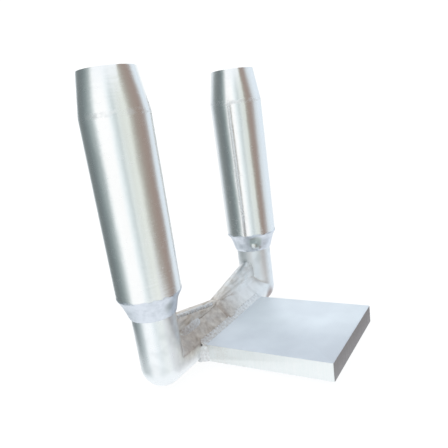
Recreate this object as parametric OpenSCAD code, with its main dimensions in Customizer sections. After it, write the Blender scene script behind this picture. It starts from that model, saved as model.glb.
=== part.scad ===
// Welded aluminium terminal for two conductors. Two compression barrels stand on a bent round
// crossbar, and a flat pad is welded to the middle of it.
// Millimetres. The origin is the centre of the pad's underside. +X points to the pad's free
// edge, +Y runs from the near barrel to the far one, and +Z points out of the barrels' mouths.

/* [Barrels] */
// Distance between the axes of the two barrels
barrel_spacing = 200; // [180:5:280]
// Outside diameter of a barrel
barrel_d = 58; // [54:0.5:64]
// Diameter of the bore that takes the conductor
bore_d = 36; // [32.5:0.5:38]
// Length of a barrel from its lower end to its mouth
barrel_length = 186; // [120:2:240]
// Outside diameter of a barrel at its mouth
mouth_d = 47.6; // [43:0.2:52]
// Length of the outside taper below the mouth
mouth_taper = 34.3; // [15:0.5:60]
// Chamfer where the bore meets the mouth
bore_chamfer = 1.5; // [0.5:0.1:2.5]

/* [Crossbar] */
// Diameter of the round bar of the stems and arms
bar_d = 40; // [39:0.5:46]
// Height from the arm's axis to the lower end of a barrel
stem_height = 71; // [60:1:110]
// Diameter of the spigot that plugs the lower end of a barrel
spigot_d = 32; // [20:0.5:35]
// Length of the spigot
spigot_length = 28; // [15:1:50]
// Gap all round between the spigot and its socket
spigot_clearance = 0.1; // [0.05:0.05:0.4]
// Chamfer at the spigot's top
spigot_chamfer = 2; // [1:0.5:4]
// Width of the flat dressed along the arms, facing up and towards the pad
flat_w = 20; // [10:1:26]
// Depth of the bar below the pad's underside
bar_drop = 4.3; // [2:0.1:8]

/* [Pad] */
// Length of the pad from the bar to its free edge
pad_length = 130; // [90:5:180]
// Width of the pad
pad_w = 122; // [80:2:140]
// Thickness of the pad
pad_t = 18; // [12:0.5:20]
// Rounding of the pad's two upright free edges
pad_corner_r = 1.5; // [0.5:0.5:6]

/* [Gussets] */
// Thickness of a gusset
gusset_t = 16; // [10:1:20]
// Height of a gusset above the bar, at the stem
gusset_rise = 18; // [10:1:30]
// Height of a gusset above the bar, where the two slopes would meet in the middle
gusset_toe = 1.4; // [1:0.2:4]
// How far the gussets stand back from the bar's axis, away from the pad
gusset_offset = 2; // [0:0.5:4]

/* [Welds] */
// Height of the weld cone below a barrel
cone_h = 20.5; // [12:0.5:30]
// Radius of the rippled runs along the pad's root
root_bead_r = 3.4; // [2.5:0.1:5]
// Radius of the runs down the pad's two root edges
end_bead_r = 4.2; // [3:0.1:6]
// Radius of the runs along the feet of the gussets
foot_bead_r = 2.8; // [1.5:0.1:4]
// Length of the rippled run at the near gusset's front foot
near_foot_length = 34; // [20:1:60]
// Radius of the run along the near gusset's front shoulder
shoulder_bead_r = 2; // [1:0.1:3]
// Distance from one ripple of a run to the next
ripple_pitch = 5; // [3:0.5:8]
// Depth of the valleys between ripples, as a share of the run's radius
ripple_depth = 0.14; // [0.05:0.01:0.3]
// Half width of the butt weld between the two arms, at the bar's surface
butt_half_w = 6.5; // [4:0.5:9]
// Radius of the faces where the two arms touch inside the butt weld
butt_land_r = 6; // [3:0.5:10]
// Height of the butt weld's crown above the bar
crown_h = 0.8; // [0.4:0.1:2]
// Radius of the lump left on the far weld cone
lump_r = 5.5; // [4:0.5:8]

/* [Hidden] */
$fn = 96;

barrel_r = barrel_d / 2;
bore_r = bore_d / 2;
spigot_r = spigot_d / 2;
socket_r = spigot_r + spigot_clearance;
mouth_r = mouth_d / 2;
bar_r = bar_d / 2;
barrel_y = barrel_spacing / 2;

// The arms' axis runs along Y at this X and Z.
bar_x = -pad_length / 2 - bar_r;
bar_z = bar_r - bar_drop;
barrel_z = bar_z + stem_height;

// Faces that the pad's root meets on the round bar
pad_top_above_bar = pad_t - bar_z;
root_top_x = bar_x + sqrt(bar_r ^ 2 - pad_top_above_bar ^ 2);
root_bottom_x = bar_x + sqrt(bar_r ^ 2 - bar_z ^ 2);

// The dressed flat lies at this distance from the arms' axis.
flat_angle = 45;
flat_offset = sqrt(bar_r ^ 2 - (flat_w / 2) ^ 2);

// The gussets' top edge is full round and slopes from the stem to the middle.
gusset_run = barrel_y - bar_r;
gusset_slope = atan2(gusset_rise - gusset_toe, gusset_run);
gusset_top_r = gusset_t / 2;
gusset_x = bar_x - gusset_offset;
gusset_front_x = gusset_x + gusset_t / 2;
gusset_back_x = gusset_x - gusset_t / 2;
gusset_front_foot_z = min(bar_z + sqrt(bar_r ^ 2 - (gusset_front_x - bar_x) ^ 2),
                          bar_z + flat_offset / sin(flat_angle) - (gusset_front_x - bar_x));
gusset_back_foot_z = bar_z + sqrt(bar_r ^ 2 - (gusset_back_x - bar_x) ^ 2);

// The foot runs stop short of the stem, and of where a gusset's flat side sinks into the bar.
foot_bead_gap = 4;
foot_bead_end = gusset_run - foot_bead_gap;
function foot_bead_length(foot_z) =
    foot_bead_end - foot_bead_gap
    - (foot_z - (bar_z + bar_r + gusset_toe - gusset_top_r)) / tan(gusset_slope);

// The shoulder run lies on the round top's front, clear of the stem and of the middle.
shoulder_angle = 51;
shoulder_gap = 6;

// Blunt edges of the weld cone, and height of a crown halfway to its edge as a share
cone_lip = 0.6;
crown_shoulder = 0.7;

// The lump sits on the far weld cone, where the torch stopped, with a smaller one as its tail.
lump_turn = -61;
lump_height = cone_h * 0.4;
lump_sink = 0.6;
lump_tail_turn = 16;
lump_tail_drop = 4;
lump_tail_r = lump_r * 0.8;

// Colours of the metal
TURNED = "#dfe3e4";
BAR = "#c9cfd1";
PLATE = "#d3dce4";
CAST = "#a9a7a3";
WELD = "#b9bfc2";

// Far side as drawn, near side mirrored across the plane between the barrels
module on_side(far) {
    mirror([0, far ? 0 : 1, 0]) children();
}

// Turned tube with a tapered mouth. Its bore steps down to the spigot's socket.
module barrel(far) {
    on_side(far)
        translate([bar_x, barrel_y, barrel_z])
            rotate_extrude()
                polygon([[socket_r, 0], [barrel_r, 0], [barrel_r, barrel_length - mouth_taper],
                         [mouth_r, barrel_length], [bore_r + bore_chamfer, barrel_length],
                         [bore_r, barrel_length - bore_chamfer], [bore_r, spigot_length],
                         [socket_r, spigot_length]]);
}

// Round stock of one arm, from the corner to the butt weld, with its flat
module arm() {
    difference() {
        translate([bar_x, barrel_y, bar_z])
            rotate([90, 0, 0])
                rotate_extrude()
                    polygon([[0, 0], [bar_r, 0], [bar_r, barrel_y - butt_half_w],
                             [butt_land_r, barrel_y], [0, barrel_y]]);
        dressing_cut(flat_offset);
    }
}

// Everything past a plane along the arms, tilted to face up and towards the pad
module dressing_cut(offset_from_axis) {
    translate([bar_x, 0, bar_z])
        rotate([0, -flat_angle, 0])
            translate([offset_from_axis, -barrel_y, -bar_d])
                cube([bar_d, 2 * barrel_y, 2 * bar_d]);
}

// Stem with the spigot that plugs the barrel, and the ball at the corner
module stem() {
    translate([bar_x, barrel_y, bar_z])
        rotate_extrude()
            difference() {
                union() {
                    circle(r = bar_r);
                    square([bar_r, stem_height]);
                    translate([0, stem_height])
                        polygon([[0, 0], [spigot_r, 0],
                                 [spigot_r, spigot_length - spigot_chamfer],
                                 [spigot_r - spigot_chamfer, spigot_length],
                                 [0, spigot_length]]);
                }
                translate([-bar_d, -bar_d]) square([bar_d, 2 * bar_d]);
            }
}

// Stem and arm in one piece
module elbow(far) {
    on_side(far) {
        stem();
        arm();
    }
}

// Plate with its free upright edges eased, before it is prepared for welding
module pad_plate() {
    difference() {
        translate([bar_x, -pad_w / 2, 0])
            cube([bar_r + pad_length, pad_w, pad_t]);
        for (side = [-1, 1])
            translate([pad_length / 2, side * pad_w / 2, 0])
                corner_easing(side);
    }
}

// The same plate with its root bevelled above and below, as wide as the runs that fill the
// bevels, so that the flat faces end where the runs begin
module pad_blank() {
    difference() {
        pad_plate();
        root_bevel(root_top_x, pad_t);
        root_bevel(root_bottom_x, 0);
    }
}

// Tool that cuts a bevel along a root corner of the pad
module root_bevel(corner_x, corner_z) {
    translate([corner_x, pad_w, corner_z])
        rotate([90, 0, 0])
            linear_extrude(height = 2 * pad_w)
                polygon([[-root_bead_r, 0], [0, -root_bead_r], [root_bead_r, 0],
                         [0, root_bead_r]]);
}

// Tool that rounds an upright edge of the pad at its free end
module corner_easing(side) {
    difference() {
        translate([-pad_corner_r, -pad_corner_r, -pad_t])
            cube([2 * pad_corner_r, 2 * pad_corner_r, 3 * pad_t]);
        translate([-pad_corner_r, -side * pad_corner_r, -2 * pad_t])
            cylinder(h = 5 * pad_t, r = pad_corner_r);
        translate([-3 * pad_corner_r, -2 * pad_corner_r, -2 * pad_t])
            cube([2 * pad_corner_r, 4 * pad_corner_r, 5 * pad_t]);
    }
}

// Round bar along the whole crossbar, which the pad, gussets and welds are coped round
module bar_stock() {
    translate([bar_x, -barrel_y, bar_z])
        rotate([-90, 0, 0])
            cylinder(h = barrel_spacing, r = bar_r);
}

// The same bar with its dressed flat
module dressed_bar() {
    difference() {
        bar_stock();
        dressing_cut(flat_offset);
    }
}

// Round stem that a gusset butts against
module stem_stock() {
    translate([bar_x, barrel_y, bar_z]) cylinder(h = stem_height, r = bar_r);
}

// Rib with a full-round sloping top, before it is coped
module gusset_blank() {
    section_h = bar_r + gusset_rise;
    along_top_edge()
        linear_extrude(height = barrel_y / cos(gusset_slope))
            union() {
                translate([0, -gusset_top_r]) circle(r = gusset_top_r);
                translate([-gusset_top_r, -section_h])
                    square([gusset_t, section_h - gusset_top_r]);
            }
}

// Puts Z along the gusset's top edge, from above the stem's axis down to the middle
module along_top_edge() {
    top_z = bar_z + bar_r + gusset_rise + tan(gusset_slope) * bar_r;
    translate([gusset_x, barrel_y, top_z])
        rotate([90 + gusset_slope, 0, 0])
            children();
}

// Rib cut off in the middle of the crossbar, which the welds beside it are coped round
module gusset_rib() {
    intersection() {
        gusset_blank();
        translate([bar_x - bar_d, 0, bar_z])
            cube([2 * bar_d, barrel_y, stem_height]);
    }
}

// Rib in the corner between stem and arm, coped round both
module gusset(far) {
    on_side(far)
        difference() {
            gusset_rib();
            dressed_bar();
            stem_stock();
        }
}

// Weld cone that fills the step between barrel and stem
module barrel_weld_cone() {
    translate([bar_x, barrel_y, barrel_z - cone_h])
        rotate_extrude()
            polygon([[bar_r, 0], [bar_r + cone_lip, 0], [barrel_r, cone_h - cone_lip],
                     [barrel_r, cone_h], [bar_r, cone_h]]);
}

// Run of scalloped ripples along Z, from 0 to run_length
module ripple_run(run_length, run_r) {
    ripples = max(1, round(run_length / ripple_pitch));
    pitch = run_length / ripples;
    valley_r = run_r * (1 - ripple_depth);
    steps = 4;
    crest = [for (i = [0 : ripples - 1], j = [0 : steps - 1])
                [valley_r + (run_r - valley_r) * sin(180 * j / steps),
                 pitch * (i + j / steps)]];
    rotate_extrude()
        polygon(concat([[0, 0]], crest, [[valley_r, run_length], [0, run_length]]));
}

// Butt weld: it fills the V between the arms and stands a little proud of them
module butt_ring() {
    shoulder_r = bar_r + crown_h * crown_shoulder;
    translate([bar_x, 0, bar_z])
        rotate([90, 0, 0])
            rotate_extrude()
                polygon([[butt_land_r, 0], [bar_r, -butt_half_w],
                         [shoulder_r, -butt_half_w / 2], [bar_r + crown_h, 0],
                         [shoulder_r, butt_half_w / 2], [bar_r, butt_half_w]]);
}

module near_barrel() { color(TURNED) barrel(false); }

module far_barrel() { color(TURNED) barrel(true); }

module near_elbow() { color(BAR) elbow(false); }

module far_elbow() { color(BAR) elbow(true); }

module pad() {
    color(PLATE)
        difference() {
            pad_blank();
            bar_stock();
        }
}

module near_gusset() { color(CAST) gusset(false); }

module far_gusset() { color(CAST) gusset(true); }

module near_barrel_weld() { color(WELD) on_side(false) barrel_weld_cone(); }

module far_barrel_weld() {
    color(WELD)
        difference() {
            union() {
                barrel_weld_cone();
                cone_lump(lump_turn, lump_height, lump_r);
                cone_lump(lump_turn + lump_tail_turn, lump_height - lump_tail_drop,
                          lump_tail_r);
            }
            barrel_solid();
            stem_stock();
        }
}

// Half-sunk ball on the far weld cone, turned about the barrel's axis
module cone_lump(turn, height, radius) {
    on_cone_r = bar_r + (barrel_r - bar_r) * height / cone_h;
    translate([bar_x, barrel_y, barrel_z - cone_h + height])
        rotate([0, 0, turn])
            translate([on_cone_r - radius * lump_sink, 0, 0])
                sphere(r = radius);
}

// Space above a barrel's lower end, which no weld enters
module barrel_solid() {
    translate([bar_x, barrel_y, barrel_z]) cylinder(h = barrel_length, r = barrel_r + lump_r);
}

module centre_weld() {
    color(WELD)
        difference() {
            butt_ring();
            dressing_cut(flat_offset + crown_h);
            pad_blank();
            for (far = [false, true])
                on_side(far) gusset_rib();
        }
}

module pad_top_weld() {
    color(WELD)
        difference() {
            translate([root_top_x, -pad_w / 2, pad_t])
                rotate([-90, 0, 0])
                    ripple_run(pad_w, root_bead_r);
            pad_blank();
            dressed_bar();
            butt_ring();
        }
}

module pad_bottom_weld() {
    color(WELD)
        difference() {
            translate([root_bottom_x, -pad_w / 2, 0])
                rotate([-90, 0, 0])
                    ripple_run(pad_w, root_bead_r);
            pad_blank();
            dressed_bar();
            butt_ring();
        }
}

// Run down one root edge of the pad, between the top and bottom runs
module pad_end_weld(far) {
    on_side(far)
        difference() {
            translate([root_top_x, pad_w / 2, 0]) ripple_run(pad_t, end_bead_r);
            pad_plate();
            dressed_bar();
        }
}

module near_pad_end_weld() { color(WELD) pad_end_weld(false); }

module far_pad_end_weld() { color(WELD) pad_end_weld(true); }

// Run along the foot of a gusset, from beside the stem towards the middle
module gusset_foot_weld(far, foot_x, foot_z, run_length) {
    on_side(far)
        difference() {
            translate([foot_x, foot_bead_end, foot_z])
                rotate([90, 0, 0])
                    ripple_run(run_length, foot_bead_r);
            gusset_rib();
            dressed_bar();
        }
}

module near_gusset_front_weld() {
    color(WELD)
        gusset_foot_weld(false, gusset_front_x, gusset_front_foot_z, near_foot_length);
}

// The far front foot is dressed smooth.
module far_gusset_front_weld() {
    color(WELD)
        difference() {
            translate([gusset_front_x, foot_bead_end, gusset_front_foot_z])
                rotate([90, 0, 0])
                    cylinder(h = foot_bead_length(gusset_front_foot_z), r = foot_bead_r);
            gusset_rib();
            dressed_bar();
        }
}

module near_gusset_back_weld() {
    color(WELD)
        gusset_foot_weld(false, gusset_back_x, gusset_back_foot_z,
                         foot_bead_length(gusset_back_foot_z));
}

module far_gusset_back_weld() {
    color(WELD)
        gusset_foot_weld(true, gusset_back_x, gusset_back_foot_z,
                         foot_bead_length(gusset_back_foot_z));
}

// Run along the front shoulder of the near gusset's round top
module near_gusset_top_weld() {
    start = (bar_r + shoulder_gap) / cos(gusset_slope);
    run_length = (gusset_run - butt_half_w - 2 * shoulder_gap) / cos(gusset_slope);
    color(WELD)
        on_side(false)
            difference() {
                along_top_edge()
                    translate([gusset_top_r * cos(shoulder_angle),
                               gusset_top_r * (sin(shoulder_angle) - 1), start])
                        ripple_run(run_length, shoulder_bead_r);
                gusset_rib();
                dressed_bar();
                stem_stock();
            }
}

near_barrel();
far_barrel();
near_elbow();
far_elbow();
pad();
near_gusset();
far_gusset();
near_barrel_weld();
far_barrel_weld();
centre_weld();
pad_top_weld();
pad_bottom_weld();
near_pad_end_weld();
far_pad_end_weld();
near_gusset_front_weld();
far_gusset_front_weld();
near_gusset_back_weld();
far_gusset_back_weld();
near_gusset_top_weld();
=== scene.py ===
"""Looks of a welded aluminium terminal for two conductors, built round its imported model.

Two turned compression barrels stand on a bent round crossbar, and a sawn pad is welded to the
middle of it. Every class stands for one sub-assembly or one finish. The frame is that of the
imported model, in metres: +X points to the pad's free edge, +Y runs from the near barrel to the
far one and +Z points out of the mouths. The sizes that the sub-assemblies hold are in
millimetres.
"""

import logging
import math
from dataclasses import dataclass, field
from enum import Enum
from functools import partial
from typing import Any, Callable, ClassVar, Iterable, Optional, Sequence

import bmesh
import bpy
from mathutils import Euler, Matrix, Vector, noise


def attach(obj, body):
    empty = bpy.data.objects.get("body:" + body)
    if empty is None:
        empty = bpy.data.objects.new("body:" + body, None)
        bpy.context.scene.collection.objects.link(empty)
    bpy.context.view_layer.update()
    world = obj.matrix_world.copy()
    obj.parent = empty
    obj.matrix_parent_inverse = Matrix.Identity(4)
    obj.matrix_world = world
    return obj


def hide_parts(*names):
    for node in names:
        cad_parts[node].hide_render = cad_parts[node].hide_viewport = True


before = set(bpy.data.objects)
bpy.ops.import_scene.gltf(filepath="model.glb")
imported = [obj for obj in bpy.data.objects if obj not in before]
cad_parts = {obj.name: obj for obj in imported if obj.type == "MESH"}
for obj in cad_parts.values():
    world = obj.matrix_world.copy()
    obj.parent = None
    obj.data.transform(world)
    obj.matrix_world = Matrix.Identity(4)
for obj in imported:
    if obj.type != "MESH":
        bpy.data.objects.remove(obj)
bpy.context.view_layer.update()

LOG = logging.getLogger("terminal")
MM = 0.001

Colour = tuple[float, float, float, float]
Point = tuple[float, float]
Triple = tuple[float, float, float]
Mesh = bmesh.types.BMesh
Piece = bpy.types.Object
Material = bpy.types.Material
Tree = bpy.types.NodeTree
Node = bpy.types.Node
Socket = bpy.types.NodeSocket
Adder = Callable[..., Node]

# Inputs of a node that mixes two colours: how much of the second one, the first, the second.
SHARE, FIRST, SECOND = 0, 6, 7
# Settings of such a node, and of a range that eases in and out.
COLOURS = {"data_type": "RGBA"}
EASED = {"interpolation_type": "SMOOTHSTEP"}


class Side(Enum):
    """The two sides of the terminal, with the sign of their place along Y."""

    NEAR = -1
    FAR = 1

    @property
    def word(self) -> str:
        """The side's word in the names of nodes and pieces."""
        return self.name.lower()


def linear(hex_colour: str) -> Colour:
    """Turns an sRGB hex value into the linear colour that a shader takes.

    Args:
        hex_colour: The colour, such as "#c9cfd1".

    Returns:
        Red, green, blue and a full alpha.
    """
    digits = hex_colour.lstrip("#")
    parts = [int(digits[i : i + 2], 16) / 255 for i in (0, 2, 4)]
    red, green, blue = (p / 12.92 if p <= 0.04045 else ((p + 0.055) / 1.055) ** 2.4 for p in parts)
    return red, green, blue, 1.0


def grey(level: float) -> Colour:
    """A neutral colour of that linear level."""
    return level, level, level, 1.0


def add_node(
    tree: Tree,
    kind: str,
    inputs: Optional[dict[Any, Any]] = None,
    stops: Sequence[tuple[float, Colour]] = (),
    **settings: Any,
) -> Node:
    """Adds a node, sets it up and links its inputs.

    Args:
        tree: The node tree that the node goes into.
        kind: The node's type, without the words that every shader node's type starts with.
        inputs: What each input gets, by name or index: a value, a hex colour, an output, or a
            node, which feeds it from the first output in use.
        stops: Place and colour of each stop of a colour ramp, from left to right.
        **settings: The node's own properties.

    Returns:
        The new node.
    """
    node = tree.nodes.new(f"ShaderNode{kind}")
    for name, value in settings.items():
        setattr(node, name, value)
    for number, (place, colour) in enumerate(stops):
        ramp = node.color_ramp.elements
        stop = ramp[number] if number < len(ramp) else ramp.new(place)
        stop.position, stop.color = place, colour
    for socket, value in (inputs or {}).items():
        if isinstance(value, Node):
            value = next(output for output in value.outputs if output.enabled)
        if isinstance(value, Socket):
            tree.links.new(value, node.inputs[socket])
        else:
            node.inputs[socket].default_value = linear(value) if isinstance(value, str) else value
    return node


def bare_tree(owner: Material | bpy.types.World) -> Tree:
    """Turns the nodes of a new material or world on and takes out those that come with it.

    Args:
        owner: The material or world.

    Returns:
        Its empty node tree.
    """
    owner.use_nodes = True
    owner.node_tree.nodes.clear()
    return owner.node_tree


@dataclass(frozen=True)
class Grain:
    """One noise pattern of a finish, by the real size of its marks."""

    size_mm: float
    detail: float
    stretch: Optional[Triple] = None
    roughness: float = 0.5


@dataclass(frozen=True)
class Finish:
    """What every metal finish shares: a name, a colour, a gloss and the patterns on them."""

    name: str
    base: str
    roughness: float
    grains: ClassVar[dict[str, Grain]] = {}
    # How much smoke lies at each share of the way along the crossbar, from end to end.
    smoke_along: ClassVar[Sequence[Point]] = (
        (0.05, 0.0), (0.105, 0.5), (0.17, 0.95), (0.47, 1.0), (0.54, 0.72), (0.62, 0.42),
        (0.72, 0.2), (0.88, 0.06), (0.95, 0.0),
    )

    def build(self) -> Material:
        """Makes the material.

        Returns:
            A metal material that reads Object coordinates.
        """
        material = bpy.data.materials.new(self.name)
        add = partial(add_node, bare_tree(material))
        place = add("TexCoord").outputs["Object"]
        marks = {}
        for word, grain in self.grains.items():
            way = place
            if grain.stretch:
                way = add("Mapping", {"Vector": place, "Scale": grain.stretch})
            size = {"Scale": 1 / (grain.size_mm * MM), "Roughness": grain.roughness}
            marks[word] = add("TexNoise", {"Vector": way, "Detail": grain.detail, **size})
        looks = self.dress(add, place, marks)
        metal = add("BsdfPrincipled", {"Metallic": 1.0, **looks})
        add("OutputMaterial", {"Surface": metal})
        return material

    def dress(self, add: Adder, place: Socket, marks: dict[str, Node]) -> dict[str, Any]:
        """Makes what is the finish's own: its colour, its gloss and its relief.

        Args:
            add: Adds a node to the material's tree.
            place: Object coordinates.
            marks: The patterns of the finish by name.

        Returns:
            What the inputs of the metal shader get.
        """
        return {"Base Color": self.base, "Roughness": self.roughness}

    def relief(self, add: Adder, *layers: tuple[Node, Any]) -> Node:
        """Heaps layers of unevenness on one another.

        Args:
            add: Adds a node to the material's tree.
            *layers: A pattern and its depth in millimetres, for each layer.

        Returns:
            The bump that they make.
        """
        height = 0.0
        for pattern, depth_mm in layers:
            layer = {0: pattern, 1: depth_mm, 2: height}
            height = add("Math", layer, operation="MULTIPLY_ADD")
        return add("Bump", {"Strength": 1.0, "Distance": MM, "Height": height})

    def smoke(self, add: Adder, place: Socket, low_share: float) -> Node:
        """How much weld smoke lies on the crossbar: most from the near corner to the middle.

        Args:
            add: Adds a node to the material's tree.
            place: Object coordinates.
            low_share: How much of it is left low down.

        Returns:
            A number from 0, clean, to 1, sooty.
        """
        parts = add("SeparateXYZ", {"Vector": place}).outputs
        span = {"Value": parts["Y"], "From Min": -0.12, "From Max": 0.12}
        stops = [(at, grey(level)) for at, level in self.smoke_along]
        amount = add("ValToRGB", {"Fac": add("MapRange", span)}, stops)
        clouds = {"Vector": place, "Scale": 1 / (14 * MM), "Detail": 4.0}
        drift = {"Value": add("TexNoise", clouds), "From Min": 0.3, "From Max": 0.7}
        uneven = add("MapRange", {**drift, "To Min": 0.7})
        drifted = add("Math", {0: amount, 1: uneven}, operation="MULTIPLY")
        # It thins out from 24 mm of height down to 6 mm, where the bar's side faces down.
        rise = {"Value": parts["Z"], "From Min": 0.006, "From Max": 0.024, "To Min": low_share}
        thinner_low_down = add("MapRange", rise, **EASED)
        return add("Math", {0: drifted, 1: thinner_low_down}, operation="MULTIPLY")


@dataclass(frozen=True)
class TurnedAluminium(Finish):
    """Aluminium tube turned on a lathe and left as the tool left it."""

    # Gives the eye long bright and dark bands down the tube, with edges frayed by fine rings.
    name: str = "turned_aluminium"
    base: str = "#f5f6f6"
    roughness: float = 0.2
    feed_mm: float = 1.1
    taper_z: float = 238.4
    grains: ClassVar[dict[str, Grain]] = {
        # Slow waves of the wall bend the edges of what the barrel mirrors.
        "waves": Grain(15, 1.5, (1, 1, 0.45)),
        # Chatter of the tool: short streaks round the barrel that fray the edges of the bands.
        "chatter": Grain(2.2, 2.0, (0.22, 0.22, 1)),
        "handling": Grain(5, 5.0),
    }

    def dress(self, add: Adder, place: Socket, marks: dict[str, Node]) -> dict[str, Any]:
        """Lathe rings, a smudged ring where the taper starts and faint handling marks.

        Args:
            add: Adds a node to the material's tree.
            place: Object coordinates.
            marks: The patterns of the finish by name.

        Returns:
            What the inputs of the metal shader get.
        """
        height = add("SeparateXYZ", {"Vector": place}).outputs["Z"]
        # The feed marks of the tool are drawn coarser than real so that they show.
        feed = {"W": height, "Scale": 1 / (self.feed_mm * MM), "Detail": 2.0}
        rings = add("TexNoise", feed, noise_dimensions="1D")
        above = add("Math", {0: height, 1: self.taper_z * MM}, operation="SUBTRACT")
        away = add("Math", {0: above}, operation="ABSOLUTE")
        band = {"Value": away, "From Min": 0.0006, "From Max": 0.0034, "To Min": 1, "To Max": 0}
        ring = add("MapRange", band, **EASED)
        touched = {"Value": marks["handling"], "From Min": 0.42, "From Max": 0.6}
        smudge = {0: ring, 1: add("MapRange", touched)}
        smudge = add("Math", smudge, operation="MULTIPLY")
        waves = {"Value": marks["waves"], "From Min": 0.52, "From Max": 0.75, "To Max": 0.1}
        colour = {SHARE: add("MapRange", waves), FIRST: self.base, SECOND: "#dfddd8"}
        wear_and_painted_shade = {"Value": marks["handling"], "From Min": 0.5, "From Max": 0.7, "To Max": 0.07}
        fine = {"To Min": self.roughness - 0.03, "To Max": self.roughness + 0.04}
        fine |= {"Value": rings, "From Min": 0.3, "From Max": 0.7}
        dulled = {0: add("MapRange", wear_and_painted_shade), 1: add("MapRange", fine)}
        gloss = {0: smudge, 1: 0.3, 2: add("Math", dulled, operation="ADD")}
        layers = (marks["waves"], 0.3), (marks["chatter"], 0.1), (smudge, 0.03), (rings, 0.004)
        return {
            "Base Color": add("Mix", colour, **COLOURS),
            "Roughness": add("Math", gloss, operation="MULTIPLY_ADD"),
            "Normal": self.relief(add, *layers),
            # The rings keep their sharpness round the barrel and blur the light only along it.
            "Anisotropic": 0.7,
            "Anisotropic Rotation": 0.25,
            "Tangent": add("Tangent", direction_type="RADIAL", axis="Z"),
        }


@dataclass(frozen=True)
class DressedBar(Finish):
    """Bent round bar of aluminium, wire brushed after welding."""

    # Gives the eye a satin sheen that blurs what it mirrors, and a grey-brown haze by the welds.
    name: str = "dressed_bar"
    base: str = "#f5f8fa"
    roughness: float = 0.29
    # Centre of a painted reflection on the far ball, in millimetres.
    painted_reflection_at: Triple = (-68.0, 92.5, 8.0)
    grains: ClassVar[dict[str, Grain]] = {
        "blotch": Grain(11, 1.5),
        # Scratches of the wire brush, drawn coarser than real so that they show.
        "brush": Grain(2.2, 4.0, (1, 0.4, 0.7)),
        "scale": Grain(6, 8.0, roughness=0.62),
    }

    def dress(self, add: Adder, place: Socket, marks: dict[str, Node]) -> dict[str, Any]:
        """Weld smoke, faint blotches, brush scratches and a shallow unevenness from bending.

        Args:
            add: Adds a node to the material's tree.
            place: Object coordinates.
            marks: The patterns of the finish by name.

        Returns:
            What the inputs of the metal shader get.
        """
        smoke = self.smoke(add, place, 0.12)
        blotch = marks["blotch"]
        dull = {"Value": blotch, "From Min": 0.5, "From Max": 0.75, "To Max": 0.4}
        clean = {SHARE: add("MapRange", dull), FIRST: self.base, SECOND: "#d3d8da"}
        spread = {"Value": marks["scale"], "From Min": 0.35, "From Max": 0.65}
        sooty = {SHARE: add("MapRange", spread), FIRST: "#aea298", SECOND: "#d9d1c8"}
        hazed = {
            SHARE: smoke,
            FIRST: add("Mix", clean, **COLOURS),
            SECOND: add("Mix", sooty, **COLOURS),
        }
        # A painted reflection: a brown patch low on the far ball, where it mirrors something
        # brown.
        centre = tuple(value * MM for value in self.painted_reflection_at)
        reach = add("VectorMath", {0: place, 1: centre}, operation="DISTANCE")
        painted_reflection = {"Value": reach, "From Min": 0.003, "From Max": 0.014, "To Min": 1, "To Max": 0}
        colour = {
            SHARE: add("MapRange", painted_reflection, **EASED),
            FIRST: add("Mix", hazed, **COLOURS),
            SECOND: "#ac9f9e",
        }
        soft = {"To Min": self.roughness - 0.03, "To Max": self.roughness + 0.06}
        soft |= {"Value": blotch, "From Min": 0.35, "From Max": 0.7}
        # The far stem was brushed duller than the near one.
        along = add("SeparateXYZ", {"Vector": place}).outputs["Y"]
        dulled = {"Value": along, "From Min": 0.03, "From Max": 0.08, "To Max": 0.12}
        both = {0: add("MapRange", soft), 1: add("MapRange", dulled)}
        gloss = {0: smoke, 1: 0.22, 2: add("Math", both, operation="ADD")}
        depth_mm = {"Value": smoke, "To Min": 0.003, "To Max": 0.09}
        scratches = marks["brush"], add("MapRange", depth_mm)
        return {
            "Base Color": add("Mix", colour, **COLOURS),
            "Roughness": add("Math", gloss, operation="MULTIPLY_ADD"),
            "Normal": self.relief(add, scratches, (blotch, 0.06)),
        }


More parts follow.
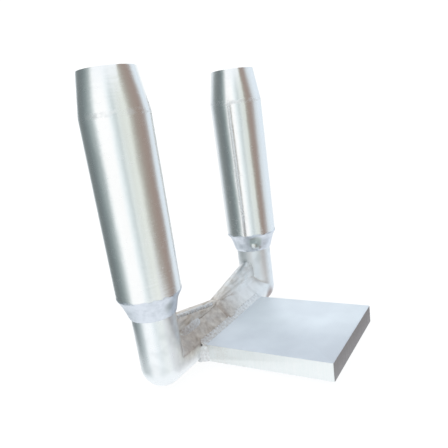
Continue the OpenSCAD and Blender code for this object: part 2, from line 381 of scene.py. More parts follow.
@dataclass(frozen=True)
class SawnPlate(Finish):
    """Extruded flat of aluminium with its mill skin, cut to size with a saw."""

    # Gives the eye a dull, even sheen on the flats, and bright fine lines on the cut edges.
    name: str = "sawn_plate"
    base: str = "#f0f7fd"
    roughness: float = 0.54
    grains: ClassVar[dict[str, Grain]] = {
        "skin": Grain(45, 3.0),
        "speck": Grain(1.6, 3.0),
        "drift": Grain(20, 2.0),
        "grit": Grain(1.2, 3.0),
        # Saw lines run across the plate's thickness, a little coarser than a real blade's.
        "saw": Grain(1.5, 3.0, (1, 1, 0.12)),
    }

    def dress(self, add: Adder, place: Socket, marks: dict[str, Node]) -> dict[str, Any]:
        """Mill skin on the flats, saw lines on the bright edges and a few beige stains.

        Args:
            add: Adds a node to the material's tree.
            place: Object coordinates.
            marks: The patterns of the finish by name.

        Returns:
            What the inputs of the metal shader get.
        """
        facing = add("NewGeometry").outputs["Normal"]
        facing = add("SeparateXYZ", {"Vector": facing}).outputs
        place = add("SeparateXYZ", {"Vector": place}).outputs
        upright = add("Math", {0: facing["Z"]}, operation="ABSOLUTE")
        edge = {"Value": upright, "From Min": 0.5, "From Max": 0.8, "To Min": 1, "To Max": 0}
        edge = add("MapRange", edge, **EASED)
        # Painted shade: the flats are duller towards the near side.
        wear_and_painted_shade = {"Value": place["Y"], "From Min": -0.06, "From Max": 0.05}
        wear_and_painted_shade = add("MapRange", {**wear_and_painted_shade, "To Min": 0.75, "To Max": 0}, **EASED)
        cloudy = {"Value": marks["skin"], "From Min": 0.35, "From Max": 0.65}
        cloudy = add("MapRange", {**cloudy, "To Min": -0.2, "To Max": 0.25})
        dulled = add("Math", {0: wear_and_painted_shade, 1: cloudy}, operation="ADD", use_clamp=True)
        flat = {SHARE: dulled, FIRST: self.base, SECOND: "#dbe2ea"}
        cut = {SHARE: marks["saw"], FIRST: "#f3f8f8", SECOND: "#fdfefe"}
        # The stains lie mostly at the root's end of the edges.
        spread = {"Value": marks["drift"], "From Min": 0.42, "From Max": 0.62, "To Max": 0.8}
        rooted = {"Value": place["X"], "From Min": -0.055, "From Max": 0.02}
        rooted |= {"To Min": 1, "To Max": 0.1}
        placed = {
            0: add("MapRange", spread),
            1: add("MapRange", rooted, **EASED),
        }
        dotted = {"Value": marks["speck"], "From Min": 0.3, "From Max": 0.75, "To Max": 0.42}
        stain = {
            0: add("MapRange", dotted),
            1: add("Math", placed, operation="MULTIPLY"),
        }
        stained = {
            SHARE: add("Math", stain, operation="MULTIPLY"),
            FIRST: add("Mix", cut, **COLOURS),
            SECOND: "#d8d1c6",
        }
        plate = {
            SHARE: edge,
            FIRST: add("Mix", flat, **COLOURS),
            SECOND: add("Mix", stained, **COLOURS),
        }
        # Painted reflection: the free end and the root, sawn across, are grey like the shaded
        # floor they mirror.
        endways = add("Math", {0: facing["X"]}, operation="ABSOLUTE")
        sawn = {"Value": endways, "From Min": 0.6, "From Max": 0.85}
        sawn = add("MapRange", sawn, **EASED)
        painted_reflection_on_ends = {SHARE: marks["saw"], FIRST: "#b1b0b3", SECOND: "#c8c7c9"}
        colour = {
            SHARE: sawn,
            FIRST: add("Mix", plate, **COLOURS),
            SECOND: add("Mix", painted_reflection_on_ends, **COLOURS),
        }
        mill = {"To Min": self.roughness - 0.04, "To Max": self.roughness + 0.05}
        mill |= {"Value": marks["grit"], "From Min": 0.3, "From Max": 0.7}
        gloss = {0: sawn, 1: 0.3, 2: add("MapRange", mill)}
        lines = add("Math", {0: edge, 1: marks["saw"]}, operation="MULTIPLY")
        return {
            "Base Color": add("Mix", colour, **COLOURS),
            "Roughness": add("Math", gloss, operation="MULTIPLY_ADD"),
            "Normal": self.relief(add, (lines, 0.16), (marks["grit"], 0.03)),
        }


@dataclass(frozen=True)
class RoughGusset(Finish):
    """Torch-cut rib of aluminium, hazed by weld smoke and only half brushed clean."""

    # Gives the eye a matt grey-brown scale with paler lines along the rib.
    name: str = "rough_gusset"
    base: str = "#f6f9fb"
    roughness: float = 0.42
    grains: ClassVar[dict[str, Grain]] = {
        # Drag lines of the torch and the brush, drawn coarser than real so that they show.
        "drag": Grain(2.6, 4.0, (1, 0.2, 0.8)),
        "patch": Grain(9, 5.0),
    }

    def dress(self, add: Adder, place: Socket, marks: dict[str, Node]) -> dict[str, Any]:
        """Grey-brown scale with drag lines along the rib, which the brush left paler.

        Args:
            add: Adds a node to the material's tree.
            place: Object coordinates.
            marks: The patterns of the finish by name.

        Returns:
            What the inputs of the metal shader get.
        """
        lines = {"Value": marks["drag"], "From Min": 0.35, "From Max": 0.65}
        lines = add("MapRange", lines)
        sooty = {SHARE: lines, FIRST: "#bfb3a7", SECOND: "#e6ded5"}
        clean = {SHARE: lines, FIRST: "#e0e4e5", SECOND: self.base}
        uneven = {"Value": marks["patch"], "From Min": 0.35, "From Max": 0.65}
        uneven = add("MapRange", {**uneven, "To Min": -0.2, "To Max": 0.15})
        haze = {0: self.smoke(add, place, 0.8), 1: uneven}
        haze = add("Math", haze, operation="ADD", use_clamp=True)
        colour = {
            SHARE: haze,
            FIRST: add("Mix", clean, **COLOURS),
            SECOND: add("Mix", sooty, **COLOURS),
        }
        gloss = {"Value": haze, "To Min": self.roughness, "To Max": self.roughness + 0.14}
        return {
            "Base Color": add("Mix", colour, **COLOURS),
            "Roughness": add("MapRange", gloss),
            "Normal": self.relief(add, (marks["patch"], 0.16), (marks["drag"], 0.12)),
        }


@dataclass(frozen=True)
class WeldMetal(Finish):
    """Weld deposit of aluminium, left as it froze."""

    # Gives the eye a pale frosty skin, with a haze of smoke in its valleys.
    name: str = "weld_metal"
    base: str = "#f0f4f7"
    roughness: float = 0.4
    grains: ClassVar[dict[str, Grain]] = {
        "frost": Grain(3.5, 5.0),
        # Flecks of smoke left in the ripples, drawn coarser than real so that they show.
        "fleck": Grain(2, 3.0),
    }

    def dress(self, add: Adder, place: Socket, marks: dict[str, Node]) -> dict[str, Any]:
        """Frosty mottling under a haze of smoke.

        Args:
            add: Adds a node to the material's tree.
            place: Object coordinates.
            marks: The patterns of the finish by name.

        Returns:
            What the inputs of the metal shader get.
        """
        frost = marks["frost"]
        mottled = {"Value": frost, "From Min": 0.35, "From Max": 0.65}
        clean = {SHARE: add("MapRange", mottled), FIRST: self.base, SECOND: "#dfe3e7"}
        held = {"Value": marks["fleck"], "From Min": 0.35, "From Max": 0.65}
        held = add("MapRange", {**held, "To Min": 0.2, "To Max": 0.65})
        haze = {0: self.smoke(add, place, 0.8), 1: held}
        haze = add("Math", haze, operation="MULTIPLY")
        colour = {SHARE: haze, FIRST: add("Mix", clean, **COLOURS), SECOND: "#bdb3aa"}
        gloss = {"To Min": self.roughness - 0.05, "To Max": self.roughness + 0.12}
        return {
            "Base Color": add("Mix", colour, **COLOURS),
            "Roughness": add("MapRange", {"Value": frost, **gloss}),
            "Normal": self.relief(add, (frost, 0.1), (haze, 0.05)),
        }


@dataclass(frozen=True)
class BrushedWeld(Finish):
    """Weld cone of aluminium, brushed smooth."""

    # Gives the eye a pale, faintly blue tone with a soft gloss, grey where the torch stopped, and
    # painted shade and a painted highlight round a lump of weld.
    # Each spot holds its centre, its inner and outer radius in millimetres, and its tone.
    name: str = "brushed_weld"
    base: str = "#e4e9f1"
    roughness: float = 0.38
    spots: tuple[tuple[Triple, float, float, str], ...] = ()
    grains: ClassVar[dict[str, Grain]] = {
        "cloud": Grain(12, 4.0),
        "grit": Grain(1.4, 3.0),
        "fleck": Grain(4, 6.0),
    }

    def dress(self, add: Adder, place: Socket, marks: dict[str, Node]) -> dict[str, Any]:
        """Faint clouds, brush grit, and spots with ragged edges: grey where the torch stopped, and
        painted shade and a painted highlight round a lump.

        Args:
            add: Adds a node to the material's tree.
            place: Object coordinates.
            marks: The patterns of the finish by name.

        Returns:
            What the inputs of the metal shader get.
        """
        cloud = marks["cloud"]
        both = add("Math", {0: cloud, 1: marks["fleck"]}, operation="ADD")
        soft = {"Value": both, "From Min": 0.92, "From Max": 1.35, "To Max": 0.9}
        colour = {SHARE: add("MapRange", soft), FIRST: self.base, SECOND: "#ccd2da"}
        colour = add("Mix", colour, **COLOURS)
        # Each spot blends a tone in round a point; on the far cone they are painted shade and a
        # painted highlight round a lump.
        for centre, inner_mm, outer_mm, tone in self.spots:
            centre = tuple(value * MM for value in centre)
            reach = add("VectorMath", {0: place, 1: centre}, operation="DISTANCE")
            ragged = {0: cloud, 1: 0.006, 2: reach}
            ragged = {"Value": add("Math", ragged, operation="MULTIPLY_ADD")}
            edge = {"From Min": (inner_mm + 3.0) * MM, "From Max": (outer_mm + 3.0) * MM}
            inside = {**ragged, **edge, "To Min": 0.95, "To Max": 0.0}
            inside = add("MapRange", inside, **EASED)
            colour = {SHARE: inside, FIRST: colour, SECOND: tone}
            colour = add("Mix", colour, **COLOURS)
        gloss = {"To Min": self.roughness - 0.06, "To Max": self.roughness + 0.08}
        return {
            "Base Color": colour,
            "Roughness": add("MapRange", {"Value": cloud, **gloss}),
            "Normal": self.relief(add, (marks["grit"], 0.02)),
        }


def new_piece(name: str, mesh: Mesh, material: Material, sharp_deg: float = 60.0) -> Piece:
    """Makes a smooth-shaded object from a finished bmesh and frees the bmesh.

    Args:
        name: The piece's name.
        mesh: The finished bmesh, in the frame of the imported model.
        material: Its finish.
        sharp_deg: The angle from which an edge stays crisp.

    Returns:
        The object, which sits at the origin.
    """
    mesh.normal_update()
    for face in mesh.faces:
        face.smooth = True
    for edge in mesh.edges:
        edge.smooth = edge.calc_face_angle(0.0) < math.radians(sharp_deg)
    data = bpy.data.meshes.new(name)
    mesh.to_mesh(data)
    mesh.free()
    data.materials.append(material)
    piece = bpy.data.objects.new(name, data)
    bpy.context.scene.collection.objects.link(piece)
    return piece


def node_shape(node: str) -> Mesh:
    """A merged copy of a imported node's mesh.

    Args:
        node: The node's name.

    Returns:
        A closed bmesh with its doubles merged and its faces pointing outwards.
    """
    mesh = bmesh.new()
    mesh.from_mesh(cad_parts[node].data)
    bmesh.ops.remove_doubles(mesh, verts=mesh.verts[:], dist=0.002 * MM)
    bmesh.ops.recalc_face_normals(mesh, faces=mesh.faces[:])
    return mesh


def remeshed(mesh: Mesh, voxel_mm: float) -> Mesh:
    """An even mesh over the same form, fine enough to take unevenness.

    Args:
        mesh: The closed bmesh, which is freed.
        voxel_mm: The side of a face.

    Returns:
        The even bmesh.
    """
    data = bpy.data.meshes.new("blank")
    mesh.to_mesh(data)
    mesh.free()
    blank = bpy.data.objects.new("blank", data)
    bpy.context.scene.collection.objects.link(blank)
    voxels = blank.modifiers.new("even", "REMESH")
    voxels.mode = "VOXEL"
    voxels.voxel_size = voxel_mm * MM
    made = bpy.data.meshes.new_from_object(
        blank.evaluated_get(bpy.context.evaluated_depsgraph_get())
    )
    even = bmesh.new()
    even.from_mesh(made)
    bpy.data.objects.remove(blank)
    for used in (data, made):
        bpy.data.meshes.remove(used)
    return even


def softened(mesh: Mesh, rounds: int, kept: Optional[Callable[[Vector], bool]] = None) -> None:
    """Rounds a mesh off by letting each point drift towards its neighbours.

    Args:
        mesh: The bmesh to change.
        rounds: How often the points drift.
        kept: Says whether the point at a place stays as it is.
    """
    loose = [v for v in mesh.verts if kept is None or not kept(v.co)]
    for _ in range(rounds):
        bmesh.ops.smooth_vert(
            mesh, verts=loose, factor=0.5, use_axis_x=True, use_axis_y=True, use_axis_z=True
        )


def grown(
    mesh: Mesh, base_mm: float, depth_mm: float, size_mm: float, seed: float, octaves: int = 4
) -> None:
    """Moves each point of a mesh along its normal, by an even part and by smooth noise.

    Args:
        mesh: The bmesh to change.
        base_mm: The even part of the move.
        depth_mm: The largest uneven part, which is added to it.
        size_mm: Size of the largest lumps.
        seed: Shifts the noise, so that no two pieces match.
        octaves: Levels of finer lumps.
    """
    mesh.normal_update()
    shift = Vector((seed, seed * 1.7, seed * 2.3))
    for vert in mesh.verts:
        lump = noise.fractal(vert.co / (size_mm * MM) + shift, 0.9, 2.1, octaves)
        vert.co += vert.normal * MM * (base_mm + depth_mm * (0.5 + 0.5 * lump))


def revolved(profile: Iterable[Point], centre: Vector, steps: int) -> Mesh:
    """Spins a closed profile round an upright axis.

    Args:
        profile: Radius and height of each corner in millimetres, the last joined to the first.
        centre: A point on the axis, at height zero of the profile.
        steps: Faces round the axis.

    Returns:
        A closed bmesh of revolution.
    """
    mesh = bmesh.new()
    corners = [mesh.verts.new(centre + Vector((r * MM, 0, z * MM))) for r, z in profile]
    rim = [mesh.edges.new(pair) for pair in zip(corners, corners[1:] + corners[:1])]
    bmesh.ops.spin(
        mesh,
        geom=corners + rim,
        cent=centre,
        axis=(0, 0, 1),
        angle=math.tau,
        steps=steps,
        use_merge=True,
    )
    bmesh.ops.remove_doubles(mesh, verts=mesh.verts[:], dist=0.001 * MM)
    bmesh.ops.recalc_face_normals(mesh, faces=mesh.faces[:])
    return mesh


@dataclass
class Terminal:
    """Sizes that several sub-assemblies share, in millimetres, and the finishes."""

    bar_x: float = -85.0
    bar_z: float = 15.7
    bar_r: float = 20.0
    barrel_y: float = 100.0
    barrel_z: float = 86.7
    barrel_r: float = 29.0
    turned: Material = field(default_factory=TurnedAluminium().build)
    bar: Material = field(default_factory=DressedBar().build)
    plate: Material = field(default_factory=SawnPlate().build)
    rough: Material = field(default_factory=RoughGusset().build)
    weld: Material = field(default_factory=WeldMetal().build)
    cone: Material = field(
        default_factory=BrushedWeld(spots=(((-61.5, -105.0, 77.0), 1.0, 8.0, "#b4babd"),)).build
    )
    cone_with_painted_shade_and_highlight: Material = field(
        default_factory=BrushedWeld(
            name="brushed_weld_with_painted_shade_and_highlight",
            spots=(
                # Painted shade and light round the lump of weld: a darker ring, a lighter patch
                # inside it, and a painted highlight.
                ((-71.0, 80.8, 78.5), 5.0, 10.5, "#b3bcb9"),
                ((-69.5, 80.0, 78.0), 0.1, 2.2, "#d3dad8"),
                ((-73.0, 78.6, 74.0), 1.3, 3.6, "#fbfdfc"),
            ),
        ).build
    )

    def barrel_foot(self, side: Side) -> Vector:
        """Centre of a barrel's lower end."""
        return Vector((self.bar_x, side.value * self.barrel_y, self.barrel_z)) * MM


def place_piece(piece: Piece, node: str) -> Piece:
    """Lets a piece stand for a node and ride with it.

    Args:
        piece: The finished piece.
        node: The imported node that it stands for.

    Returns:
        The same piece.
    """
    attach(piece, "root")
    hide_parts(node)
    return piece


@dataclass
class Barrel:
    """Turned tube with a tapered mouth, a bore and the socket of the spigot."""

    terminal: Terminal
    side: Side
    length: float = 186.0
    taper: float = 34.3
    mouth_r: float = 23.8
    bore_r: float = 18.0
    bore_chamfer: float = 1.5
    socket_r: float = 16.1
    socket_depth: float = 28.0
    edge_r: float = 0.5

    def profile(self) -> list[Point]:
        """Corners of the wall, with broken edges and an eased shoulder where the taper starts.

        Returns:
            Radius and height of each corner, in millimetres.
        """
        outer, edge = self.terminal.barrel_r, self.edge_r
        taper_z = self.length - self.taper
        slope = (outer - self.mouth_r) / self.taper
        return [
            (self.socket_r, 0),
            (outer - edge, 0),
            (outer, edge),
            (outer, taper_z - 2.0),
            (outer - 0.03, taper_z - 0.6),
            (outer - 0.12 - slope * 0.6, taper_z + 0.8),
            (outer - slope * 2.6, taper_z + 2.6),
            (self.mouth_r + slope * edge, self.length - edge),
            (self.mouth_r - edge * 0.3, self.length - edge * 0.3),
            (self.mouth_r - edge, self.length),
            (self.bore_r + self.bore_chamfer + edge * 0.4, self.length),
            (self.bore_r + self.bore_chamfer, self.length - edge * 0.4),
            (self.bore_r, self.length - self.bore_chamfer),
            (self.bore_r, self.socket_depth),
            (self.socket_r, self.socket_depth),
        ]

    def build(self) -> Piece:
        """Makes the barrel.

        Returns:
            The finished piece.
        """
        mesh = revolved(self.profile(), self.terminal.barrel_foot(self.side), steps=192)
        name = f"{self.side.word}_barrel"
        piece = new_piece(f"{name}_turned", mesh, self.terminal.turned, sharp_deg=25)
        return place_piece(piece, name)


@dataclass
class Elbow:
    """Stem, ball corner and arm of bent bar, with the flat dressed along the arm."""

    terminal: Terminal
    side: Side
    butt_end: float = 8.0

    def build(self) -> Piece:
        """Makes the elbow.

        Returns:
            The finished piece.
        """
        name = f"{self.side.word}_elbow"
        mesh = remeshed(node_shape(name), voxel_mm=0.7)
        softened(mesh, rounds=6, kept=lambda place: abs(place.y) < self.butt_end * MM)
        seed = 3.1 * self.side.value
        grown(mesh, base_mm=-0.05, depth_mm=0.1, size_mm=16, seed=seed, octaves=3)
        piece = new_piece(f"{name}_bar", mesh, self.terminal.bar)
        return place_piece(piece, name)


@dataclass
class Pad:
    """Sawn flat plate, coped round the bar, with broken edges."""

    terminal: Terminal
    edge_r: float = 0.5

    def build(self) -> Piece:
        """Makes the pad.

        Returns:
            The finished piece.
        """
        mesh = node_shape("pad")
        bmesh.ops.dissolve_limit(
            mesh, angle_limit=math.radians(1), verts=mesh.verts[:], edges=mesh.edges[:]
        )
        crisp = [e for e in mesh.edges if e.calc_face_angle(0.0) > math.radians(60)]
        bmesh.ops.bevel(
            mesh,
            geom=crisp,
            offset=self.edge_r * MM,
            offset_type="OFFSET",
            segments=2,
            profile=0.5,
            affect="EDGES",
            material=-1,
        )
        piece = new_piece("pad_plate", mesh, self.terminal.plate, sharp_deg=25)
        return place_piece(piece, "pad")


@dataclass
class Gusset:
    """Rib in the corner between stem and arm, rough from its torch cut."""

    terminal: Terminal
    side: Side
    foot_z: float = 35.0
    rise: float = 18.0
    root_y: float = 80.0
    tip_y: float = 10.0
    middle_x: float = -87.0
    half_w: float = 8.0
    drop: float = 2.0
    drop_reach: float = 13.0
    fused_rise: float = 1.5
    fused_r: float = 21.0

    def fused(self, place: Vector) -> bool:
        """Whether a place lies where the rib is fused with the flat or the stem.

        Args:
            place: A point of the rib.

        Returns:
            True where the rib keeps its shape.
        """
        arm = Vector((place.x, place.y)) / MM
        arm -= Vector((self.terminal.bar_x, self.side.value * self.terminal.barrel_y))
        return place.z < (self.foot_z + self.fused_rise) * MM or arm.length < self.fused_r

    def crown(self, mesh: Mesh) -> None:
        """Rounds the rib's upper end, so that it meets the stem in an arch.

        Args:
            mesh: The rib's bmesh.
        """
        for vert in mesh.verts:
            across, along, height = vert.co / MM
            reach = abs(along)
            top = self.rise * (reach - self.tip_y) / (self.root_y - self.tip_y)
            share = min(1.0, max(0.0, (height - self.foot_z) / max(top, 1.0)))
            close = min(1.0, max(0.0, 1 - (self.root_y - reach) / self.drop_reach))
            side_share = min(1.0, abs(across - self.middle_x) / self.half_w)
            arch = 1 - math.sqrt(1 - side_share**2)
            vert.co.z -= MM * self.drop * share * arch * close**2 * (3 - 2 * close)

    def build(self) -> Piece:
        """Makes the gusset.

        Returns:
            The finished piece.
        """
        name = f"{self.side.word}_gusset"
        mesh = remeshed(node_shape(name), voxel_mm=0.6)
        softened(mesh, rounds=3, kept=self.fused)
        grown(mesh, base_mm=0.3, depth_mm=0.35, size_mm=6, seed=5.3 * self.side.value)
        if self.side is Side.FAR:
            self.crown(mesh)
        piece = new_piece(f"{name}_rib", mesh, self.terminal.rough)
        return place_piece(piece, name)


@dataclass
class WeldCone:
    """Weld that fills the step between stem and barrel, with an uneven upper toe."""

    terminal: Terminal
    side: Side
    cone_height: float = 20.5
    hollow: float = 1.0
    inner_hollow: float = 2.2
    toe_depth: float = 1.4
    toe_rise: float = 2.4
    toe_r: float = 29.12
    toe_band: float = 7.5
    toe_facing: float = 0.15

    def scoop(self, mesh: Mesh) -> None:
        """Hollows the cone, most on the side that faces the other barrel.

        Args:
            mesh: The cone's bmesh.
        """
        foot = self.terminal.barrel_foot(self.side)
        for vert in mesh.verts:
            arm = Vector((vert.co.x - foot.x, vert.co.y - foot.y, 0))
            share = 1 + (vert.co.z - foot.z) / (self.cone_height * MM)
            # The points inside the stem stay where they are.
            if not 0 < share < 1 or arm.length < self.terminal.bar_r * MM * 0.98:
                continue
            way = arm.normalized()
            inner = max(0.0, -self.side.value * way.y)
            depth = self.hollow + (self.inner_hollow - self.hollow) * inner
            # The hollow is deepest two thirds up, where 6.75 brings it to the full depth.
            vert.co -= way * depth * MM * 6.75 * share**2 * (1 - share)

    def toe(self, mesh: Mesh) -> None:
        """Lets the upper toe climb the barrel's edge unevenly, as a thin film.

        Args:
            mesh: The cone's bmesh.
        """
        foot = self.terminal.barrel_foot(self.side)
        start_z = foot.z - self.toe_depth * MM
        mesh.normal_update()
        for vert in mesh.verts:
            arm = Vector((vert.co.x - foot.x, vert.co.y - foot.y, 0))
            way = arm.normalized()
            if vert.co.z < start_z or vert.normal.dot(way) < self.toe_facing:
                continue
            # The film is whole before the edge, and its height wanders round the barrel.
            share = min(1.0, (vert.co.z - start_z) / (self.toe_depth * MM) * 1.3)
            wave = noise.fractal(way * 2.3 + Vector((0, 0, self.side.value * 4.0)), 0.8, 2.0, 4)
            vert.co += way * (self.toe_r * MM - arm.length) * share
            vert.co.z += share * MM * self.toe_rise * min(1.0, max(0.0, 0.45 + 0.9 * wave))

    def build(self) -> Piece:
        """Makes the cone.

        Returns:
            The finished piece.
        """
        name = f"{self.side.word}_barrel_weld"
        mesh = remeshed(node_shape(name), voxel_mm=0.6)
        softened(mesh, rounds=3)
        middle_z = self.terminal.barrel_foot(self.side).z - self.cone_height * MM / 2
        softened(mesh, rounds=12, kept=lambda place: abs(place.z - middle_z) > self.toe_band * MM)
        grown(mesh, base_mm=0.2, depth_mm=0.25, size_mm=9, seed=2.7 * self.side.value)
        self.scoop(mesh)
        self.toe(mesh)
        # The far cone's finish has painted shade and a painted highlight round its lump.
        finish = self.terminal.cone if self.side is Side.NEAR else self.terminal.cone_with_painted_shade_and_highlight
        piece = new_piece(f"{name}_cone", mesh, finish)
        return place_piece(piece, name)


@dataclass
class WeldRun:
    """One weld deposit of the crossbar, softened so that its ripples are worn and wander."""

    terminal: Terminal
    node: str
    seed: float
    rounds: int = 2
    depth_mm: float = 0.25
    base_mm: float = 0.25
    flush: bool = False
    lump_mm: float = 4.0
    voxel_mm: float = 0.45

    def blank(self) -> Mesh:
        """The deposit's own shape, on an even mesh that softens evenly."""
        return remeshed(node_shape(self.node), self.voxel_mm)

    def build(self) -> Piece:
        """Makes the run.

        Returns:
            The finished piece.
        """
        mesh = self.blank()
        softened(mesh, self.rounds)
        grown(mesh, self.base_mm, self.depth_mm, self.lump_mm, self.seed)
        finish = self.terminal.bar if self.flush else self.terminal.weld
        piece = new_piece(f"{self.node}_run", mesh, finish)
        return place_piece(piece, self.node)


@dataclass
class HollowRun(WeldRun):
    """Run in a corner, with its round back dressed to a hollow whose toes dip away."""

    bead_r: float = 3.4
    hollow_r: float = 5.0
    dip: float = 0.6
    stretch: float = 1.0

    def dressed(self, along: float, off: float) -> Point:
        """Where a point of the round back comes to lie on the hollow one.

        Args:
            along: Its distance from the first wall of the corner, in millimetres.
            off: Its distance from the second wall.

        Returns:
            Both distances after dressing.
        """
        reach = math.hypot(along, off)
        # What lies in a wall or right in the corner is hidden and stays.
        if along < -0.3 or off < -0.3 or reach < 0.5:
            return along, off
        turn = min(math.pi / 2, max(0.0, math.atan2(off, along)))
        # Reach of a hollow arc that touches both walls, and what lies deeper moves less.
        both = math.cos(turn) + math.sin(turn)
        hollow = self.hollow_r * (both - math.sqrt(both**2 - 1))
        reach = hollow * (0.4 + 0.6 * reach / self.bead_r)
        return (
            reach * math.cos(turn) - self.dip * math.exp(-(math.pi / 2 - turn) * 5),
            reach * math.sin(turn) - self.dip * math.exp(-turn * 5),
        )

    def stretched(self) -> Mesh:
        """The deposit, drawn out lengthwise about its middle.

        Returns:
            The longer bmesh.
        """
        mesh = super().blank()
        reaches = [vert.co.y for vert in mesh.verts]
        middle = (max(reaches) + min(reaches)) / 2
        for vert in mesh.verts:
            vert.co.y = middle + (vert.co.y - middle) * self.stretch
        return mesh


@dataclass
class RootRun(HollowRun):
    """Run in the corner between the bar's side and a face of the pad."""

    face: Triple = (0.0, 0.0, 1.0)
    stand: float = 18.0

    def side_x(self, height: float) -> float:
        """Where the side of the bar is at a height, in millimetres."""
        rise = height - self.terminal.bar_z
        return self.terminal.bar_x + math.sqrt(max(0.0, self.terminal.bar_r**2 - rise**2))

    def blank(self) -> Mesh:
        """The deposit, dressed hollow between bar and pad.

        Returns:
            The dressed bmesh.
        """
        mesh = self.stretched()
        face = Vector(self.face)
        for vert in mesh.verts:
            place = vert.co / MM
            off = place.dot(face) - self.stand
            along, new_off = self.dressed(place.x - self.side_x(place.z), off)
            if new_off == off:
                continue
            place += face * (new_off - off)
            place.x = self.side_x(place.z) + along
            vert.co = place * MM
        return mesh


@dataclass
class FootRun(HollowRun):
    """Run in the corner between a gusset's front and the sloping flat, dressed hollow."""

    wall_x: float = -79.0
    flat_top: float = 24.5

    def top_z(self, across: float) -> float:
        """Where the flat, which slopes by 45 degrees, is at a place across the bar."""
        return self.terminal.bar_z + self.flat_top - (across - self.terminal.bar_x)

    def blank(self) -> Mesh:
        """The deposit, dressed hollow between gusset and flat, and thin at both ends.

        Returns:
            The dressed bmesh.
        """
        mesh = self.stretched()
        reaches = [vert.co.y for vert in mesh.verts]
        middle, half = (max(reaches) + min(reaches)) / 2, (max(reaches) - min(reaches)) / 2
        for vert in mesh.verts:
            across, height = vert.co.x / MM, vert.co.z / MM
            along, off = self.dressed(across - self.wall_x, height - self.top_z(across))
            left = math.sqrt(max(0.0, 1 - (abs(vert.co.y - middle) / half) ** 4))
            across = self.wall_x + along * left - self.dip * (1 - left)
            sunk = off * left - self.dip * (1 - left)
            vert.co.x, vert.co.z = across * MM, (self.top_z(across) + sunk) * MM
        return mesh


@dataclass
class ButtWeld(WeldRun):
    """Butt weld between the two arms, dressed until its toes feather into the bar."""

    spread: float = 1.5
    dip: float = 1.0

    def blank(self) -> Mesh:
        """The deposit, drawn out along the bar and sunk at its toes.

        Returns:
            The drawn bmesh.
        """
        mesh = super().blank()
        bmesh.ops.scale(mesh, vec=(1, self.spread, 1), verts=mesh.verts[:])
        half = max(vert.co.y for vert in mesh.verts)
        for vert in mesh.verts:
            # The middle fifth keeps its height, and from there it sinks towards both toes.
            share = max(0.0, abs(vert.co.y) / half - 0.2) / 0.8
            arm = vert.co - Vector((self.terminal.bar_x, 0, self.terminal.bar_z)) * MM
            arm.y = 0
            vert.co -= arm.normalized() * self.dip * MM * share**2 * (3 - 2 * share)
        return mesh


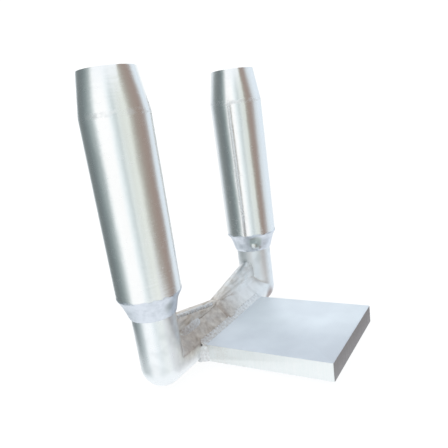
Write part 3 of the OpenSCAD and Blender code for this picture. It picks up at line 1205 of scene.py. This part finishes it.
@dataclass
class Studio:
    """Pale floor, soft surroundings, toned cards, a lamp and the camera."""

    floor_z: float = -5.2
    floor_side: float = 12.0
    camera_place: Triple = (0.188476, -0.400627, 0.228290)
    camera_turn: Triple = (73.6185, 7.4002, 29.0187)
    lens: float = 38.51
    shift: Point = (-0.02111, 0.06388)
    level: float = 1.1
    card_z: Point = (-0.3, 0.9)
    lamp_place: Triple = (-0.5, -0.7, 1.6)
    lamp_aim: Triple = (-0.03, 0.0, 0.08)
    # Tone of the tent by direction in degrees round Z, as the polished metal shows it.
    bands: ClassVar[Sequence[tuple[float, str]]] = (
        (-180, "#dfe5ea"), (-130, "#e6ecef"), (-112, "#f2f6f7"), (-104, "#ffffff"),
        (-74, "#ffffff"), (-66, "#f2f8fa"), (-57, "#d8e2e4"), (-49, "#c6cfd0"), (-40, "#dce3e1"),
        (-28, "#d9ded9"), (-17, "#e1e6e0"), (-5, "#d6d9d2"), (20, "#d9e0e6"), (60, "#dfe9f2"),
        (78, "#dde7f0"), (86, "#dae3ea"), (94, "#ecf1f4"), (104, "#f3f7f9"), (118, "#f8fafc"),
        (135, "#edf0f3"), (155, "#e2e6e9"), (180, "#dfe5ea"),
    )
    # Tones of both cards by the share of the way along them.
    brown: ClassVar[Sequence[tuple[float, str]]] = (
        (0.0, "#d9dcd5"), (0.073, "#d0d3cb"), (0.212, "#c0c1ba"), (0.338, "#b0aea6"),
        (0.515, "#9f968e"), (0.621, "#9b8f87"), (0.708, "#998a82"), (0.788, "#998c86"),
        (0.859, "#aba5a3"), (0.924, "#d0d7dc"), (1.0, "#dde7ef"),
    )
    slate: ClassVar[Sequence[tuple[float, str]]] = (
        (0.0, "#dde3e8"), (0.2, "#bbc3c8"), (0.4, "#8a9293"), (0.5, "#798081"), (0.6, "#727a7b"),
        (0.7, "#717a7c"), (0.8, "#838e8f"), (0.9, "#a9b3b4"), (1.0, "#e8eeef"),
    )

    def build(self) -> None:
        """Sets up everything that isn't the terminal."""
        self.camera()
        self.surroundings()
        self.floor()
        beside_pad, behind = ((0.70, -0.242), (0.04, 0.21)), ((-0.774, 0.298), (-0.2116, -0.448))
        self.card("brown_card", *beside_pad, self.brown, "#dcdfe2", (-0.13, -0.03))
        self.card("slate_card", *behind, self.slate, "#e9eef0", (-0.20, -0.07))
        self.lamp()
        bpy.context.scene.view_settings.view_transform = "Standard"

    def camera(self) -> None:
        """Puts the camera at the photograph's viewpoint."""
        data = bpy.data.cameras.new("camera")
        data.sensor_width = 36.0
        data.lens = self.lens
        data.shift_x, data.shift_y = self.shift
        data.clip_start, data.clip_end = 0.01, 50.0
        camera = bpy.data.objects.new("camera", data)
        camera.location = self.camera_place
        camera.rotation_euler = Euler([math.radians(a) for a in self.camera_turn])
        bpy.context.scene.collection.objects.link(camera)
        bpy.context.scene.camera = camera

    def surroundings(self) -> None:
        """White tent whose tone changes with direction, paler above and below."""
        world = bpy.data.worlds.new("tent")
        add = partial(add_node, bare_tree(world))
        way = add("TexCoord").outputs["Generated"]
        parts = add("SeparateXYZ", {"Vector": way}).outputs
        turn = add("Math", {0: parts["Y"], 1: parts["X"]}, operation="ARCTAN2")
        share = {"Value": turn, "From Min": -math.pi, "From Max": math.pi}
        share = add("MapRange", share)
        stops = [((turn_deg + 180) / 360, linear(tone)) for turn_deg, tone in self.bands]
        tone = add("ValToRGB", {"Fac": share}, stops)
        for start, end, cap in ((0.42, 0.75, "#f4f8fc"), (-0.3, -0.55, "#f3f6f8")):
            height = {"Value": parts["Z"], "From Min": start, "From Max": end}
            height = add("MapRange", height, **EASED)
            tone = {SHARE: height, FIRST: tone, SECOND: cap}
            tone = add("Mix", tone, **COLOURS)
        rays = add("LightPath").outputs
        seen = {SHARE: rays["Is Camera Ray"], FIRST: tone, SECOND: grey(1.0)}
        seen = add("Mix", seen, **COLOURS)
        glow = add("Background", {"Color": seen, "Strength": self.level})
        add("OutputWorld", {"Surface": glow})
        bpy.context.scene.world = world

    def floor(self) -> None:
        """Pale floor that holds a faint shadow and otherwise reads as white."""
        # White painted board: matt, so it takes a shadow and mirrors nothing.
        material = bpy.data.materials.new("white_board")
        add = partial(add_node, bare_tree(material))
        matte = add("BsdfDiffuse", {"Color": "#f4f5f6"})
        white = add("Emission", {"Color": grey(1.0), "Strength": 1.06})
        rays = add("LightPath").outputs
        seen = add("Math", {0: rays["Is Camera Ray"], 1: 0.85}, operation="MULTIPLY")
        blend = add("MixShader", {0: seen, 1: matte, 2: white})
        add("OutputMaterial", {"Surface": blend})
        mesh = bmesh.new()
        bmesh.ops.create_grid(mesh, x_segments=1, y_segments=1, size=self.floor_side / 2)
        bmesh.ops.translate(mesh, vec=(0, 0, self.floor_z * MM), verts=mesh.verts[:])
        board = new_piece("floor", mesh, material)
        board.visible_glossy = False

    def card(
        self,
        name: str,
        start: Point,
        end: Point,
        tones: Sequence[tuple[float, str]],
        foot: str,
        fade_z: Point,
    ) -> None:
        """Stands a toned card beside the terminal, which only the metal's reflections see.

        Args:
            name: The card's name.
            start: X and Y of its first upright edge, in metres.
            end: X and Y of its last upright edge.
            tones: Share of the way from start to end, and the tone there.
            foot: Tone that the card fades to at its foot.
            fade_z: Heights at which that fade ends and starts, in metres.
        """
        # Toned paper that gives back an even light, whatever shines on it.
        material = bpy.data.materials.new(name)
        add = partial(add_node, bare_tree(material))
        place = add("TexCoord").outputs["Object"]
        parts = add("SeparateXYZ", {"Vector": place}).outputs
        share = {"Value": parts["X"], "From Min": start[0], "From Max": end[0]}
        stops = [(at, linear(hex_colour)) for at, hex_colour in tones]
        tone = add("ValToRGB", {"Fac": add("MapRange", share)}, stops)
        low = {"Value": parts["Z"], "From Min": fade_z[0], "From Max": fade_z[1]}
        faded = {SHARE: add("MapRange", low, **EASED), FIRST: foot, SECOND: tone}
        faded = add("Mix", faded, **COLOURS)
        glow = add("Emission", {"Color": faded, "Strength": self.level})
        add("OutputMaterial", {"Surface": glow})
        mesh = bmesh.new()
        low_z, high_z = self.card_z
        corners = ((*start, low_z), (*end, low_z), (*end, high_z), (*start, high_z))
        mesh.faces.new([mesh.verts.new(corner) for corner in corners])
        board = new_piece(name, mesh, material)
        board.visible_camera = False
        board.visible_shadow = False
        board.visible_diffuse = False
        board.visible_transmission = False

    def lamp(self) -> None:
        """One large soft lamp from the upper left."""
        data = bpy.data.lights.new("softbox", "AREA")
        data.shape = "DISK"
        data.size = 1.2
        data.energy = 8.0
        lamp = bpy.data.objects.new("softbox", data)
        lamp.location = self.lamp_place
        lamp.visible_glossy = False
        aim = Vector(self.lamp_aim) - Vector(self.lamp_place)
        lamp.rotation_mode = "QUATERNION"
        lamp.rotation_quaternion = aim.to_track_quat("-Z", "Y")
        bpy.context.scene.collection.objects.link(lamp)


def main() -> None:
    """Builds the studio and every sub-assembly."""
    logging.basicConfig(level=logging.INFO, format="%(name)s %(message)s")
    Studio().build()
    terminal = Terminal()
    kinds = Barrel, Elbow, Gusset, WeldCone
    parts = [kind(terminal, side) for side in Side for kind in kinds] + [Pad(terminal)]
    # The numbers after a run's node are the seed of its noise, the rounds of softening, and the
    # uneven and the even part of its swelling in millimetres.
    end = {"stand": 61.0, "bead_r": 4.2, "hollow_r": 7.5}
    near_foot = {"bead_r": 2.8, "hollow_r": 5.0}
    foot = {"bead_r": 2.8, "hollow_r": 4.0, "stretch": 1.3, "flush": True}
    parts += [
        ButtWeld(terminal, "centre_weld", 0.4, 9, 0.15, 0.1, flush=True, voxel_mm=0.5),
        RootRun(terminal, "pad_top_weld", 1.9, 8, 0.5, 0.3, lump_mm=3.0, stretch=1.03),
        WeldRun(terminal, "pad_bottom_weld", 3.8, rounds=6),
        RootRun(terminal, "near_pad_end_weld", 5.7, 30, face=(0, -1, 0), **end),
        RootRun(terminal, "far_pad_end_weld", 7.6, 30, face=(0, 1, 0), **end),
        FootRun(terminal, "near_gusset_front_weld", 9.5, 12, 0.3, 0.4, **near_foot),
        FootRun(terminal, "far_gusset_front_weld", 11.4, 20, **foot),
        WeldRun(terminal, "near_gusset_back_weld", 13.3, 6, base_mm=0.5, voxel_mm=0.5),
        WeldRun(terminal, "far_gusset_back_weld", 15.2, 6, base_mm=0.5, voxel_mm=0.5),
        WeldRun(terminal, "near_gusset_top_weld", 17.1, 2, 1.1, -0.2, lump_mm=2.6),
    ]
    for part in parts:
        piece = part.build()
        LOG.info("%s: %d faces", piece.name, len(piece.data.polygons))


if __name__ == "__main__":
    main()
